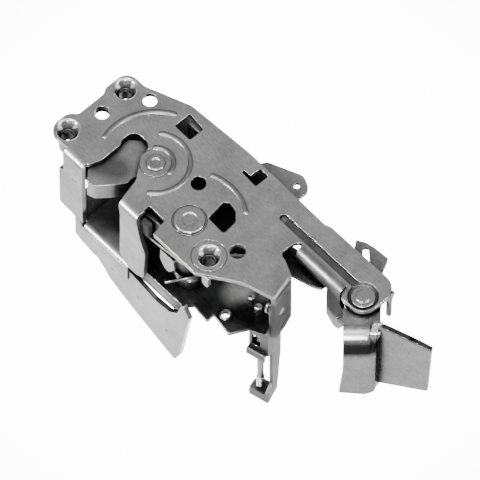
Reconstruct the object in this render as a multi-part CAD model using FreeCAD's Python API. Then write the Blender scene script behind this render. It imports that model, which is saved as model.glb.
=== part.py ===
import FreeCAD, Part
import math
import os

from FreeCAD import Vector

os.makedirs("parts", exist_ok=True)

# Door latch with a fork bolt, in millimetres.
# X runs along the plate towards the arm's end, Y runs from the open side to the far edge,
# and Z leaves the outer face. The origin is screw place C on the outer face.

# Sheets and folds
PLATE = 2.5              # face plate sheet
SHEET = 2.0              # levers and inner sheets
BACK_SHEET = 2.5         # back plate sheet
FOLD = 3.5               # outer radius of the folds
ARM_FOLD = 5.0           # softer fold along the arm's lip
GAP = 0.5                # clear space between stacked sheets
RUN = 0.05               # radial clearance of a running pivot

# Screw places, pivots and plain holes on the plate, as centres
SCREW_C = (0.0, 0.0)
SCREW_B = (-95.0, 33.6)
SCREW_A = (-97.1, -2.0)
FORK_PIVOT = (-55.0, 16.4)
PAWL_PIVOT = (-20.6, 6.5)
HOLE_A = (-92.9, 16.5)
HOLE_B = (-82.4, 38.0)
HOLE_C = (-32.7, 23.6)
HOLE_D = (7.5, 11.7)
EYELET_PLACE = (6.2, 4.9)    # rolled eyelet on the floor
EYELET_BORE = 2.2
HOLE_SIZES = {HOLE_A: 3.7, HOLE_B: 3.6, HOLE_C: 3.8, HOLE_D: 4.0}

# Dished, threaded screw places
DISH_MOUTH = 5.8         # radius of the dish on the outer face
THREAD_BORE = 3.3        # radius of the tapped hole
THREAD_END = 7.5         # depth of the tapped neck below the outer face
NECK_WALL = 1.9

# Outline of the face
FAR_EDGE = 53.0          # the plate's long straight edge
NEAR_EDGE = -11.4        # outer face of the side walls
LEFT_EDGE = -100.0
LOBE = 6.9               # radius of the screw lobes at the left end
ARM_NEAR = 32.0          # outer face of the arm's lip
ARM_FAR = 54.0
ARM_END = 74.6
ARM_INSET = 8.6          # arm's pivot from the arm's end
ARM_PIVOT = (ARM_END - ARM_INSET, ARM_NEAR + 6.6)
LIP_END = ARM_PIVOT[0] - 9.5
TAB_LEFT = LIP_END - 8.9     # hanging tab below the arm's lip
TAB_DEEP = 38.2
LIP_DEPTH = 8.0

# Round recess pressed into the arm's end for its rivet head
RECESS_RADIUS = 6.9
RECESS_DEEP = 1.6

# Striker throat
THROAT_END = (-69.0, 15.0)
THROAT_RADIUS = 6.4
THROAT_LEFT = -73.8

# Right wall, turned about the vertical from square
WALL_CORNER = (39.0, 6.8)
WALL_TURN = 14.0
WALL_WIDTH = 14.3
WALL_DEPTH = 37.5
LOCK_PIVOT = (6.2, -20.0)    # along the wall and height, in the wall's own frame
STUD_NECK = 2.0
STRAP_NEAR, STRAP_FAR = 2.7, 9.7     # edges of the lock lever's strap, along the wall

# Depths, measured down from the outer face
FORK_TOP = 3.0
FORK_THICK = 12.0
EAR_TOP = FORK_TOP + FORK_THICK + GAP
FLOOR_TOP = 55.0
WALL_FOOT = FLOOR_TOP - 2.0
FLOOR_END = FLOOR_TOP + BACK_SHEET

# Fork bolt
FORK_BORE = 4.0          # radius of the pivot shank
FORK_LOW = 14.8          # radius where the pawl rests home
FORK_HIGH = 20.0         # radius of the catch
FORK_REACH = 14.0        # pivot to striker centre
FORK_TRAVEL = 97.0       # open to home, clockwise
NOTCH_HALF = 5.8         # half the striker notch
NOTCH_TURN = 186.0 + FORK_TRAVEL     # direction of the notch when the fork is open

# Pawl
PAWL_TRAVEL = 10.0       # released to home, clockwise
PAWL_TOP = 4.5
PAWL_THICK = 8.0
PAWL_BORE = 5.0
CATCH_RADIUS = 17.4      # where the pawl's nose meets the fork
CATCH_TURN = 283.3
CATCH_PLAY = 0.9         # angle between the home catch and the pawl's nose
CATCH_SPAN = 50.5
CATCH_END = CATCH_TURN - CATCH_PLAY + FORK_TRAVEL
CATCH_START = CATCH_END - CATCH_SPAN
BUMPER_GAP = 0.35        # clear space between the bumper and the released pawl


def polar(centre, radius, degrees):
    """Point at a radius and direction from a centre."""
    turn = math.radians(degrees)
    return (centre[0] + radius * math.cos(turn), centre[1] + radius * math.sin(turn))


def corner_points(before, corner, after, radius):
    """Start, middle and end of the arc that rounds a corner."""
    c = Vector(corner[0], corner[1], 0)
    to_before = (Vector(before[0], before[1], 0) - c).normalize()
    to_after = (Vector(after[0], after[1], 0) - c).normalize()
    half = to_before.getAngle(to_after) / 2
    inwards = (to_before + to_after).normalize()
    run = radius / math.tan(half)
    middle = c + inwards * (radius / math.sin(half) - radius)
    return c + to_before * run, middle, c + to_after * run


def outline(corners, place):
    """Closed wire through corners (a, b) or (a, b, radius), laid out by place(a, b)."""
    stops = []
    for i, corner in enumerate(corners):
        if len(corner) == 3:
            before = corners[i - 1]
            after = corners[(i + 1) % len(corners)]
            stops.append(corner_points(before, corner, after, corner[2]))
        else:
            stops.append((Vector(corner[0], corner[1], 0),))
    edges = []
    for i, stop in enumerate(stops):
        here = [place(p.x, p.y) for p in stop]
        follow = stops[(i + 1) % len(stops)][0]
        if len(here) == 3:
            edges.append(Part.Arc(*here).toShape())
        end = place(follow.x, follow.y)
        if here[-1].distanceToPoint(end) > 0.001:
            edges.append(Part.LineSegment(here[-1], end).toShape())
    return Part.Wire(edges)


def flat(corners, top, bottom):
    """Sheet lying parallel to the face, between two depths."""
    wire = outline(corners, lambda a, b: Vector(a, b, -bottom))
    return Part.Face(wire).extrude(Vector(0, 0, bottom - top))


def side(corners, near, far):
    """Sheet standing along X, from corners (x, z), between two Y values."""
    wire = outline(corners, lambda a, b: Vector(a, near, b))
    return Part.Face(wire).extrude(Vector(0, far - near, 0))


def end(corners, left, right):
    """Sheet standing along Y, from corners (y, z), between two X values."""
    wire = outline(corners, lambda a, b: Vector(left, a, b))
    return Part.Face(wire).extrude(Vector(right - left, 0, 0))


def rod(centre, radius, top, bottom):
    """Upright cylinder between two depths."""
    return Part.makeCylinder(radius, bottom - top, Vector(centre[0], centre[1], -bottom))


def turned(centre, profile):
    """Solid turned about an upright axis from corners (radius, z)."""
    wire = outline(profile, lambda a, b: Vector(centre[0] + a, centre[1], b))
    return Part.Face(wire).revolve(Vector(centre[0], centre[1], 0), Vector(0, 0, 1), 360)


def sector(centre, radius, start, stop, top, bottom):
    """Pie slice between two directions and two depths."""
    rim = [polar(centre, radius, start + (stop - start) * share) for share in (0, 0.5, 1)]
    ends = [Vector(p[0], p[1], -bottom) for p in rim]
    hub = Vector(centre[0], centre[1], -bottom)
    wire = Part.Wire([Part.LineSegment(hub, ends[0]).toShape(), Part.Arc(*ends).toShape(),
                      Part.LineSegment(ends[2], hub).toShape()])
    return Part.Face(wire).extrude(Vector(0, 0, bottom - top))


def around(shape, centre, degrees):
    """Copy of a shape turned about an upright axis."""
    return shape.rotated(Vector(centre[0], centre[1], 0), Vector(0, 0, 1), degrees)


def joined(shapes):
    """One solid from overlapping shapes."""
    return shapes[0].fuse(shapes[1:]).removeSplitter()


def without(shape, cuts):
    return shape.cut(Part.Compound(cuts))


def save(name, shape):
    solids = shape.Solids
    whole = solids[0] if len(solids) == 1 else Part.Compound(solids)
    whole.exportStep("parts/%s.step" % name)


# Folds of the face plate

def near_fold(left, right, edge, sheet, depth, bend=FOLD):
    """Length of sheet that folds down along X, with its outer face at Y = edge."""
    run = bend + 2
    profile = [(edge, -depth), (edge, 0, bend), (edge + run, 0), (edge + run, -sheet),
               (edge + sheet, -sheet, bend - sheet), (edge + sheet, -depth)]
    return end(profile, left, right)


def near_wall(corners, edge, sheet):
    """Folded wall on the near side, trimmed to corners (x, z)."""
    xs = [c[0] for c in corners]
    depth = -min(c[1] for c in corners)
    fold = near_fold(min(xs), max(xs), edge, sheet, depth)
    return fold.common(side(corners, edge - 1, edge + FOLD + 3))


def from_wall(shape):
    """Move a shape from the right wall's own frame, with X leaving the wall, into place."""
    moved = shape.rotated(Vector(0, 0, 0), Vector(0, 0, 1), WALL_TURN)
    return moved.translated(Vector(WALL_CORNER[0], WALL_CORNER[1], 0))


def wall_point(along, across):
    """Plan point given in the right wall's own frame."""
    place = from_wall(Part.Vertex(along, across, 0)).Point
    return (place.x, place.y)


def right_wall():
    """Right wall in its own frame: outer face at X = 0, running from Y = 0."""
    run = FOLD + 3
    profile = [(0, -WALL_DEPTH - 3), (0, 0, FOLD), (-run, 0), (-run, -PLATE),
               (-PLATE, -PLATE, FOLD - PLATE), (-PLATE, -WALL_DEPTH - 3)]
    bent = side(profile, 0, WALL_WIDTH)
    face = [(0, 1), (WALL_WIDTH, 1), (WALL_WIDTH, -WALL_DEPTH + 1, 1.5),
            (WALL_WIDTH - 5, -WALL_DEPTH - 1.5, 1.5), (0, -WALL_DEPTH - 1.5, 1.0)]
    slit = end([(4.8, -35.0), (10.4, -33.0), (10.4, -32.1), (4.8, -34.1)], -PLATE - 1, 1)
    hole = Part.makeCylinder(STUD_NECK, PLATE + 2, Vector(-PLATE - 1, *LOCK_PIVOT), Vector(1, 0, 0))
    return without(bent.common(end(face, -run - 1, 1)), [slit, hole])


def throat(extra):
    """Corners of the striker throat, grown by extra, open on the near side."""
    x, y = THROAT_END
    r = THROAT_RADIUS + extra
    return [(THROAT_LEFT - 3.4 - extra, NEAR_EDGE - 5), (THROAT_LEFT - 3.2 - extra, -9.5, 1),
            (THROAT_LEFT - extra, -1.5, 4), (THROAT_LEFT - extra, 10.5, 2),
            (x - r, 13.5, 1.5), (x - r, y + r, r * 0.75), (x + r, y + r, r * 0.75),
            (x + r - 0.3, 14.0, 3), (-54.3 + extra, 3.0, 9), (-51.8 + extra, -8.0, 2),
            (-51.6 + extra, NEAR_EDGE - 5)]


BEAD_HALF = 1.3
BEAD_RISE = 0.7
BEAD_ROUND = (BEAD_HALF ** 2 + BEAD_RISE ** 2) / (2 * BEAD_RISE)


def bead_ridge(centre, radius, start, stop, lift):
    """Round ridge along an arc, its crown BEAD_RISE above the height lift."""
    z = lift + BEAD_RISE - BEAD_ROUND
    axis = Vector(centre[0], centre[1], 0)
    first = polar(centre, radius, start)
    turn = math.radians(start)
    ring = Part.makeCircle(BEAD_ROUND, Vector(first[0], first[1], z),
                           Vector(-math.sin(turn), math.cos(turn), 0))
    tube = Part.Face(Part.Wire(ring)).revolve(axis, Vector(0, 0, 1), stop - start)
    balls = []
    for degrees in (start, stop):
        place = polar(centre, radius, degrees)
        balls.append(Part.makeSphere(BEAD_ROUND, Vector(place[0], place[1], z)))
    return joined([tube] + balls)


# Embossed arcs: centre, radius, start and stop directions
BEADS = [(FORK_PIVOT, 28.5, 119.0, 196.0), (FORK_PIVOT, 16.6, -53.0, 127.5),
         (FORK_PIVOT, 8.6, 8.4, 137.0), (PAWL_PIVOT, 27.3, 57.0, 113.0)]

GROOVE_HALF = 2.1
GROOVE_START, GROOVE_STOP = 7.0, ARM_PIVOT[0] - RECESS_RADIUS + GROOVE_HALF
GROOVE_MIDDLE = 40.4
GROOVE_DEEP = 1.2
STEP_DEEP = 0.25         # fine steps pressed around the pivots


def stadium(left, right, middle, half, top, bottom):
    """Slot-shaped block along X."""
    corners = [(left, middle - half, half * 0.99), (right, middle - half, half * 0.99),
               (right, middle + half, half * 0.99), (left, middle + half, half * 0.99)]
    return flat(corners, top, bottom)


def dish(centre):
    """Cup pressed below a screw place, and the bowl and tapped hole that empty it."""
    outer = LOBE - 0.1
    neck = THREAD_BORE + NECK_WALL
    cup = turned(centre, [(0, -0.5), (outer, -0.5), (outer, -PLATE), (neck, -PLATE - 3.2, 1.5),
                          (neck, -THREAD_END), (0, -THREAD_END)])
    bowl = turned(centre, [(0, 1), (DISH_MOUTH + 0.6, 1), (DISH_MOUTH + 0.6, 0.001),
                           (DISH_MOUTH - 0.3, -0.6, 1.2), (THREAD_BORE, -4.2),
                           (THREAD_BORE, -THREAD_END - 1), (0, -THREAD_END - 1)])
    return cup, bowl


def face_plate():
    lobe_low = SCREW_A[1] - LOBE
    inner = NEAR_EDGE + FOLD
    skin = flat([
        (LEFT_EDGE, 24.0, 3), (SCREW_B[0] - LOBE, 27.0, 3), (SCREW_B[0] - LOBE, 41.4, LOBE * 0.95),
        (-90.0, 41.4, 4), (-66.5, 50.6, 5), (-28.0, FAR_EDGE, 20), (25.0, FAR_EDGE - 0.8, 1),
        (28.5, ARM_FAR - 0.5, 1), (ARM_END, ARM_FAR, 8),
        (ARM_END, ARM_NEAR - 1.6, 8.2), (LIP_END + 2.5, ARM_NEAR - 1.6, 3), (LIP_END, ARM_NEAR + ARM_FOLD, 1),
        (23.0, ARM_NEAR + ARM_FOLD, 3.2), (21.8, 25.4, 3.1),
        (26.0, 25.2, 2), (35.2, 21.2), (34.2, 19.0), (37.4, 6.4), (22.0, 2.2, 30), (2.0, -11.2, 1),
        (-27.0, -11.2, 1), (-28.6, -1.9, 1.2), (-39.9, -1.9, 1.2), (-39.3, inner),
        (-88.0, inner), (-90.5, lobe_low, 0.8), (SCREW_A[0] - LOBE, lobe_low, LOBE * 0.95),
        (SCREW_A[0] - LOBE, SCREW_A[1] + LOBE, LOBE * 0.9), (LEFT_EDGE, 7.5, 3)], 0, PLATE)
    left_wall = near_wall([(-90.4, 1), (-77.2, 1), (-77.2, -WALL_FOOT), (-84.0, -WALL_FOOT, 1),
                           (-84.0, -WALL_FOOT + 0.6), (-93.4, -WALL_FOOT + 1.4, 1), (-93.4, -19.5, 0.8),
                           (-90.4, -18.5, 0.8)], NEAR_EDGE, PLATE)
    strap = near_wall([(-51.6, 1), (-39.3, 1), (-38.6, -5, 3), (-36.4, -16, 3), (-32.8, -27, 5),
                       (-34.2, -51, 2.5), (-39.5, -54, 2.5), (-45.0, -54, 2.5), (-50.8, -47, 3),
                       (-50.2, -10, 20)], NEAR_EDGE, PLATE)
    lip = near_fold(26.0, LIP_END, ARM_NEAR, PLATE, LIP_DEPTH, ARM_FOLD)
    hanging = side([(TAB_LEFT, -5), (LIP_END + 0.3, -5), (LIP_END + 0.3, -13), (LIP_END + 2.7, -15),
                    (LIP_END + 2.7, 8.2 - TAB_DEEP, 1.5), (LIP_END, 2.2 - TAB_DEEP, 1.5),
                    (LIP_END - 3.2, -TAB_DEEP, 2), (TAB_LEFT, 5.7 - TAB_DEEP, 1)],
                   ARM_NEAR, ARM_NEAR + PLATE)
    end_lip = end([(45.4, -1), (51.4, -1), (49.6, -6, 2), (49.2, -20, 0.8), (47.4, -20, 0.8), (47.4, -6, 2)],
                  ARM_END - SHEET, ARM_END)
    tongue = side([(4.6, -1), (8.8, -1), (8.8, -9.5, 2), (4.6, -9.5, 2)], -8.9, -6.9)
    groove_pad = stadium(GROOVE_START, GROOVE_STOP, GROOVE_MIDDLE, GROOVE_HALF + 1.2,
                         1.5, PLATE + GROOVE_DEEP)
    cups, bowls = zip(*[dish(place) for place in (SCREW_A, SCREW_B, SCREW_C)])
    recess_pad = rod(ARM_PIVOT, RECESS_RADIUS + 1.0, 1.0, PLATE + RECESS_DEEP)
    body = joined([skin, left_wall, strap, lip, hanging, end_lip, tongue, groove_pad, recess_pad,
                   from_wall(right_wall())] + list(cups))
    cuts = list(bowls)
    cuts.append(turned(ARM_PIVOT, [(0, 1), (RECESS_RADIUS + 0.8, 1), (RECESS_RADIUS + 0.8, 0.0),
                                   (RECESS_RADIUS, -RECESS_DEEP, 0.8), (0, -RECESS_DEEP)]))
    cuts.append(flat(throat(0), -2, PLATE + FOLD))
    cuts.append(stadium(GROOVE_START, GROOVE_STOP, GROOVE_MIDDLE, GROOVE_HALF, -1, GROOVE_DEEP))
    for place, radius in HOLE_SIZES.items():
        cuts.append(rod(place, radius, -2, PLATE + 2))
    cuts.append(rod(FORK_PIVOT, FORK_BORE, -2, PLATE + 2))
    cuts.append(rod(PAWL_PIVOT, PAWL_BORE, -2, PLATE + 2))
    cuts.append(rod(ARM_PIVOT, ARM_SHANK, -2, PLATE + RECESS_DEEP + 1))
    for place, radius in ((FORK_PIVOT, 7.7), (PAWL_PIVOT, 8.2), (SCREW_C, DISH_MOUTH + 2.6)):
        cuts.append(ring(place, radius, radius + 0.4, -1, STEP_DEEP))
    cuts.append(side([(-84.4, -18.6), (-80.8, -19.8), (-80.8, -20.8), (-84.4, -19.9)],
                     NEAR_EDGE - 1, NEAR_EDGE + PLATE + 1))
    cuts.append(flat([(-63.8, 37.0, 1), (-53.0, 36.9, 1), (-53.0, 45.8, 1), (-63.8, 46.8, 1)],
                     -1, PLATE + 1))
    cuts.append(flat([(-23.4, 43.0, 0.8), (-12.8, 42.4, 0.8), (-12.8, 50.6, 0.8), (-18.6, 50.6, 0.5),
                      (-18.6, 49.6), (-18.9, 44.6), (-23.4, 44.6)], -1, PLATE + 1))
    cuts.append(flat([(-15.6, 14.0, 1), (-17.2, 25.0, 1.5), (-14.8, 27.2, 1.5), (-9.4, 26.2, 3),
                      (-5.0, 22.0, 3), (-4.2, 13.4, 1.5)], -1, PLATE + 1))
    body = without(body, cuts)
    for bead in BEADS:
        body = body.fuse(bead_ridge(*bead, 0))
        body = body.cut(bead_ridge(*bead, -PLATE))
    return body.removeSplitter()


# Rivets and pivots

ARM_SHANK = 4.0
FORK_HEAD = 4.6
PAWL_HEAD = 7.6


def long_pivot(centre, shank, head, head_rise):
    """Shouldered pivot from the face plate to the back plate, riveted over at both ends."""
    neck = shank - 1.0
    tail = FLOOR_END + 1.6
    stake = head * 0.52
    profile = [(0, head_rise - 0.5), (stake - 0.6, head_rise - 0.5, 0.3), (stake, head_rise, 0.4),
               (head, head_rise, 0.8), (head, 0.02), (shank, 0.02), (shank, -FLOOR_TOP), (neck, -FLOOR_TOP)]
    profile += [(neck, -FLOOR_END - 0.02), (neck + 1.6, -FLOOR_END - 0.02),
                (neck + 1.6, -tail, 1.0), (0, -tail)]
    return turned(centre, profile)


def ear_plate():
    """Plate behind the fork and pawl, with the ear that shows past the far edge."""
    low = NEAR_EDGE + PLATE + 1.2
    body = flat([(-86.0, low, 3), (-34.0, low, 2), (-12.0, -6.0, 4), (-2.0, 8.0, 6), (-2.0, 46.0, 4),
                 (-0.5, 58.0, 3), (0.0, 66.0, 5), (-8.0, 69.5, 5), (-25.5, 62.0, 3), (-30.5, 53.0, 5),
                 (-72.0, 54.0, 6), (-86.0, 41.0, 6)], EAR_TOP, EAR_TOP + SHEET)
    guide_top = -PLATE - GAP
    guide = side([(-62.5, -EAR_TOP - 1), (-53.0, -EAR_TOP - 1), (-53.0, guide_top, 1.5),
                  (-62.5, guide_top, 1.5)], 44.0, 44.0 + SHEET)
    body = joined([body, guide])
    cuts = [flat(throat(1.0), EAR_TOP - 1, EAR_TOP + SHEET + 1),
            rod((-6.3, 63.2), 1.6, EAR_TOP - 1, EAR_TOP + SHEET + 1)]
    cuts.append(rod(FORK_PIVOT, FORK_BORE, EAR_TOP - 1, EAR_TOP + SHEET + 1))
    cuts.append(rod(PAWL_PIVOT, PAWL_BORE, EAR_TOP - 1, EAR_TOP + SHEET + 1))
    return without(body, cuts)


STRIP_PROUD = 0.8        # upper strip of the blade stands this far in front of the rest


def back_plate():
    """Floor parallel to the face, and the pointed blade folded down along the near side."""
    floor_near = NEAR_EDGE + FOLD
    floor = flat([(-79.0, floor_near), (-46.0, floor_near), (-42.0, -6.5, 1), (-12.0, -6.5, 1.5),
                  (-8.2, -2.2, 1), (2.4, -3.6, 1), (1.6, 1.2, 0.6), (6.0, 0.6, 0.6), (14.4, -0.8, 1),
                  (19.0, 8.0, 2), wall_point(-17.0, STRAP_FAR - 2.0), wall_point(-5.0, STRAP_FAR - 2.0),
                  (24.5, 26.0, 2), (17.0, 32.0, 6), (10.0, 44.0, 5), (-79.0, 44.0)],
                 FLOOR_TOP, FLOOR_END)
    wing = flat([(-92.0, floor_near, 3), (-78.0, floor_near), (-78.0, 44.0), (-86.0, 44.0, 8),
                 (-92.0, 34.0, 6)], FLOOR_TOP + 1.2, FLOOR_END + 1.2)
    blade_top = -WALL_FOOT - GAP
    strip = side([(-82.6, blade_top, 0.8), (-82.6, -68.6, 1.5), (-78.3, -70.8, 3), (-69.9, -73.2, 2),
                  (-46.9, -67.5), (-45.5, -FLOOR_TOP - 2.0), (-77.0, -FLOOR_TOP - 2.0), (-79.0, blade_top)],
                 NEAR_EDGE, NEAR_EDGE + BACK_SHEET)
    blade_face = NEAR_EDGE + STRIP_PROUD
    blade = side([(-78.0, -66.0), (-72.0, -71.0), (-63.4, -78.7, 3), (-59.2, -83.8, 3), (-50.8, -88.4),
                  (-42.4, -92.4), (-17.3, -103.1), (-13.4, -104.5, 2), (-9.8, -95.4),
                  (-4.6, -62.0, 2), (-2.8, -52.5, 1), (-7.6, -43.5, 1), (-11.2, -56.5, 1.5),
                  (-17.0, -62.5, 4), (-27.5, -64.0, 2), (-46.5, -59.0), (-47.5, -57.5), (-78.0, -57.5)],
                 blade_face, blade_face + BACK_SHEET)
    fold = near_fold(-77.0, -45.5, NEAR_EDGE, BACK_SHEET, 12.0).translated(Vector(0, 0, -FLOOR_TOP))
    lip_face = blade_face + BACK_SHEET + 1.4
    lip = near_fold(-44.0, -13.5, lip_face, BACK_SHEET, 10.0).translated(Vector(0, 0, -FLOOR_TOP))
    cuts = [rod(FORK_PIVOT, FORK_BORE - 1.0, FLOOR_TOP - 1, FLOOR_END + 1),
            rod(PAWL_PIVOT, PAWL_BORE - 1.0, FLOOR_TOP - 1, FLOOR_END + 1)]
    cuts.append(rod(EYELET_PLACE, EYELET_BORE, FLOOR_TOP - 1, FLOOR_END + 1))
    for x, z in ((-57.2, -73.0), (-38.9, -76.7), (-18.7, -83.4)):
        cuts.append(Part.makeSphere(1.6, Vector(x, blade_face - 1.0, z)))
    body = joined([floor, wing, strip, blade, fold, lip])
    return without(body, cuts)


def fork_bolt():
    top, bottom = FORK_TOP, FORK_TOP + FORK_THICK
    along = (math.cos(math.radians(NOTCH_TURN)), math.sin(math.radians(NOTCH_TURN)))
    across = (along[1], -along[0])

    def local(a, b):
        """Point a along the notch's direction and b to its finger side."""
        return (FORK_PIVOT[0] + a * along[0] + b * across[0],
                FORK_PIVOT[1] + a * along[1] + b * across[1])

    mouth = local(FORK_REACH + 1.2, NOTCH_HALF)
    root = polar(FORK_PIVOT, 13.0, 60.0)
    finger = flat([mouth, (-61.0, -5.6, 12), (-66.9, -12.5, 3), (-70.9, -13.6, 1.2), (-76.2, -8.0, 4.0),
                   (-76.0, 3.5, 8), (-74.5, 16.8, 2.5), (-70.2, 20.6, 2), (-63.0, 29.6, 4),
                   root, FORK_PIVOT], top, bottom)
    disc = rod(FORK_PIVOT, FORK_LOW, top, bottom)
    catch = sector(FORK_PIVOT, FORK_HIGH, CATCH_START, CATCH_END, top, bottom)
    second = sector(FORK_PIVOT, FORK_HIGH + 1, 338.0, 352.0, top - 1, bottom + 1)
    second = second.cut(rod(FORK_PIVOT, 17.6, top - 1, bottom + 1))
    notch_corners = [local(FORK_REACH - NOTCH_HALF, NOTCH_HALF) + (NOTCH_HALF * 0.98,),
                     local(FORK_REACH - NOTCH_HALF, -NOTCH_HALF) + (NOTCH_HALF * 0.98,),
                     local(30.0, -NOTCH_HALF), local(30.0, NOTCH_HALF)]
    cuts = [flat(notch_corners, top - 1, bottom + 1), second,
            rod(FORK_PIVOT, FORK_BORE + RUN, top - 1, bottom + 1)]
    return without(joined([finger, disc, catch]), cuts)


PAWL_HUB = 8.0
PAWL_NOSE = polar(FORK_PIVOT, CATCH_RADIUS, CATCH_TURN)
PAWL_LENGTH = math.hypot(PAWL_NOSE[0] - PAWL_PIVOT[0], PAWL_NOSE[1] - PAWL_PIVOT[1])


def pawl_point(a, b):
    """Point a towards the nose and b away from the fork, on the released pawl."""
    home = math.atan2(PAWL_NOSE[1] - PAWL_PIVOT[1], PAWL_NOSE[0] - PAWL_PIVOT[0])
    turn = home + math.radians(PAWL_TRAVEL)
    return (PAWL_PIVOT[0] + a * math.cos(turn) - b * math.sin(turn),
            PAWL_PIVOT[1] + a * math.sin(turn) + b * math.cos(turn))


PAWL_HEEL = (4.0, PAWL_HUB - 0.5)
PAWL_BACK = (PAWL_LENGTH - 9.0, 3.2)


def pawl():
    """Pawl in its released place: drawn home against the fork, then turned back."""
    end_a = PAWL_LENGTH
    corners = [(end_a, -2.1, 0.4), (end_a, 1.4, 1), PAWL_BACK + (10,), PAWL_HEEL, (0.0, 0.0),
               (PAWL_HEEL[0], -PAWL_HEEL[1]), (end_a - 13, -2.2, 6), (end_a - 9, -0.4, 3),
               (end_a - 5.2, -0.9, 0.6), (end_a - 4.4, -2.1, 0.4)]
    placed = [pawl_point(c[0], c[1]) + tuple(c[2:]) for c in corners]
    bottom = PAWL_TOP + PAWL_THICK
    arm = flat(placed, PAWL_TOP, bottom)
    body = joined([arm, rod(PAWL_PIVOT, PAWL_HUB, PAWL_TOP, bottom)])
    return body.cut(rod(PAWL_PIVOT, PAWL_BORE + RUN, PAWL_TOP - 1, bottom + 1))


# Handle lever and slotted lever on the arm's end

VIEW_TURN = 47.0         # the handle lever's own direction at rest
LEVER_SHEET = 2.5
LEVER_TOP = PLATE + RECESS_DEEP + GAP
LEVER_HUB = 9.0
WASHER_TOP = LEVER_TOP + LEVER_SHEET + 0.2
WASHER_THICK = 1.0
SLOT_LEVER_TOP = WASHER_TOP + WASHER_THICK + 0.2
LINK_TOP = SLOT_LEVER_TOP + SHEET + GAP
ARM_TAIL = 20.0
CRANK = (-4.0, 10.0)     # link pin on the slotted lever, from its pivot
CRANK_PIN = 2.0
RELEASE_PIN = (4.5, 27.0)


def on_arm(shape):
    """Move a lever drawn about its own pivot to the arm's pivot."""
    turned_shape = shape.rotated(Vector(0, 0, 0), Vector(0, 0, 1), VIEW_TURN)
    return turned_shape.translated(Vector(ARM_PIVOT[0], ARM_PIVOT[1], 0))


def handle_lever():
    """Folded lever: hub, stepped front sheet, side flange and the wedge that a push rod meets."""
    top = LEVER_TOP
    s = LEVER_SHEET
    front_y, step_y = -20.6, -18.2
    hub = rod((0, 0), LEVER_HUB, top, top + s)
    step = [(-4.0, -top), (step_y, -top, FOLD), (step_y, -13.5, 4), (front_y, -19.0, 4), (front_y, -62),
            (front_y + s, -62), (front_y + s, -19.6, 3), (step_y + s, -14.2, 3),
            (step_y + s, -top - s, FOLD - s), (-4.0, -top - s)]
    sheet = end(step, -12.0, 10.0)
    face = side([(-9.5, 1), (9.6, 1), (6.2, -14), (5.6, -55.8), (1.5, -58.8, 4), (-11.4, -56.8, 1.5),
                 (-9.5, -35, 20)], -24.0, 5.0)
    front = sheet.common(face)
    flange = flat([(2.6, front_y), (5.4, front_y, 1.5), (7.6, -15.6), (9.4, -14.0), (8.0, -12.2, 1),
                   (5.2, -12.6, 1), (3.4, front_y + s)], 1, 60)
    rib = end([(-11.0, -1.8), (-14.0, -2.0, 2), (-18.6, -4.8, 3), (front_y, -18.0, 6), (front_y, -55.8),
               (-15.6, -56.6), (-11.0, -56.6)], 0, 12)
    blade = side([(0.0, -2.4, 1), (2.5, -1.6, 1), (16.7, -5.5, 6), (26.6, -9.1, 0.6),
                  (25.0, -48.7, 0.6), (0.0, -55.2)], 0, s)
    blade = blade.rotated(Vector(0, 0, 0), Vector(0, 0, 1), -20.0)
    blade = blade.translated(Vector(7.3, -15.9, 0))
    body = joined([hub, front, flange.common(rib), blade])
    return on_arm(body.cut(rod((0, 0), ARM_SHANK + RUN, top - 1, top + s + 1)))


def slotted_lever():
    """Bell crank behind the arm, with the oblong slot past the far edge."""
    top = SLOT_LEVER_TOP
    bottom = top + SHEET
    x, y = ARM_PIVOT
    body = flat([(x - 5.4, y - 4.8), (x + 5.6, y + 4.5), (x - 6.9, y + 19.6, 4), (x - 10.3, y + 26.3, 0.8),
                 (x - 18.7, y + 25.7, 6), (x - 23.9, y + 24.6, 3), (x - 28.3, y + 22.1, 0.8),
                 (x - 23.0, y + 15.2, 3)], top, bottom)
    hub = rod(ARM_PIVOT, 7.2, top, bottom)
    slot = flat([(x - 21.3, y + 23.7, 1.48), (x - 23.2, y + 21.4, 1.48), (x - 16.3, y + 15.8, 1.48),
                 (x - 14.4, y + 18.1, 1.48)], top - 1, bottom + 1)
    pin = rod((x + CRANK[0], y + CRANK[1]), CRANK_PIN, top + 0.5, bottom + SHEET + GAP)
    return without(joined([body, hub, pin]), [slot, rod(ARM_PIVOT, ARM_SHANK + RUN, top - 1, bottom + 1)])


def transfer_link():
    """Flat bar from the slotted lever's crank to the release lever, with a slot at each end."""
    pin_x, pin_y = ARM_PIVOT[0] + CRANK[0], ARM_PIVOT[1] + CRANK[1]
    x, y = RELEASE_PIN
    body = flat([(x - 5.6, y - 4.2, 3), (29.5, 25.8, 20), (40.8, 29.0, 10), (TAB_LEFT - 3.0, 31.0, 1.5),
                 (pin_x - 16, pin_y - 10.6, 6), (pin_x - 1.5, pin_y - 7.4, 4), (pin_x + 4.2, pin_y - 5.0, 2),
                 (pin_x + 4.2, pin_y + 3.8, 3), (pin_x - 16, pin_y + 3.8, 6), (39.0, 41.0, 6),
                 (25.0, 38.0, 10), (x + 4, y + 8.6, 4), (x - 5.6, y + 8.6, 3)],
                LINK_TOP, LINK_TOP + SHEET)
    half = CRANK_PIN + 0.45
    far_slot = flat([(pin_x - half, pin_y - half - 2.0, 2.2), (pin_x + half, pin_y - half - 2.0, 2.2),
                     (pin_x + half, pin_y + half, 2.2), (pin_x - half, pin_y + half, 2.2)],
                    LINK_TOP - 1, LINK_TOP + SHEET + 1)
    near_slot = flat([(x - half, y - half, 2.2), (x + half, y - half, 2.2),
                      (x + half, y + half + 4.2, 2.2), (x - half, y + half + 4.2, 2.2)],
                     LINK_TOP - 1, LINK_TOP + SHEET + 1)
    return without(body, [far_slot, near_slot])


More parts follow.
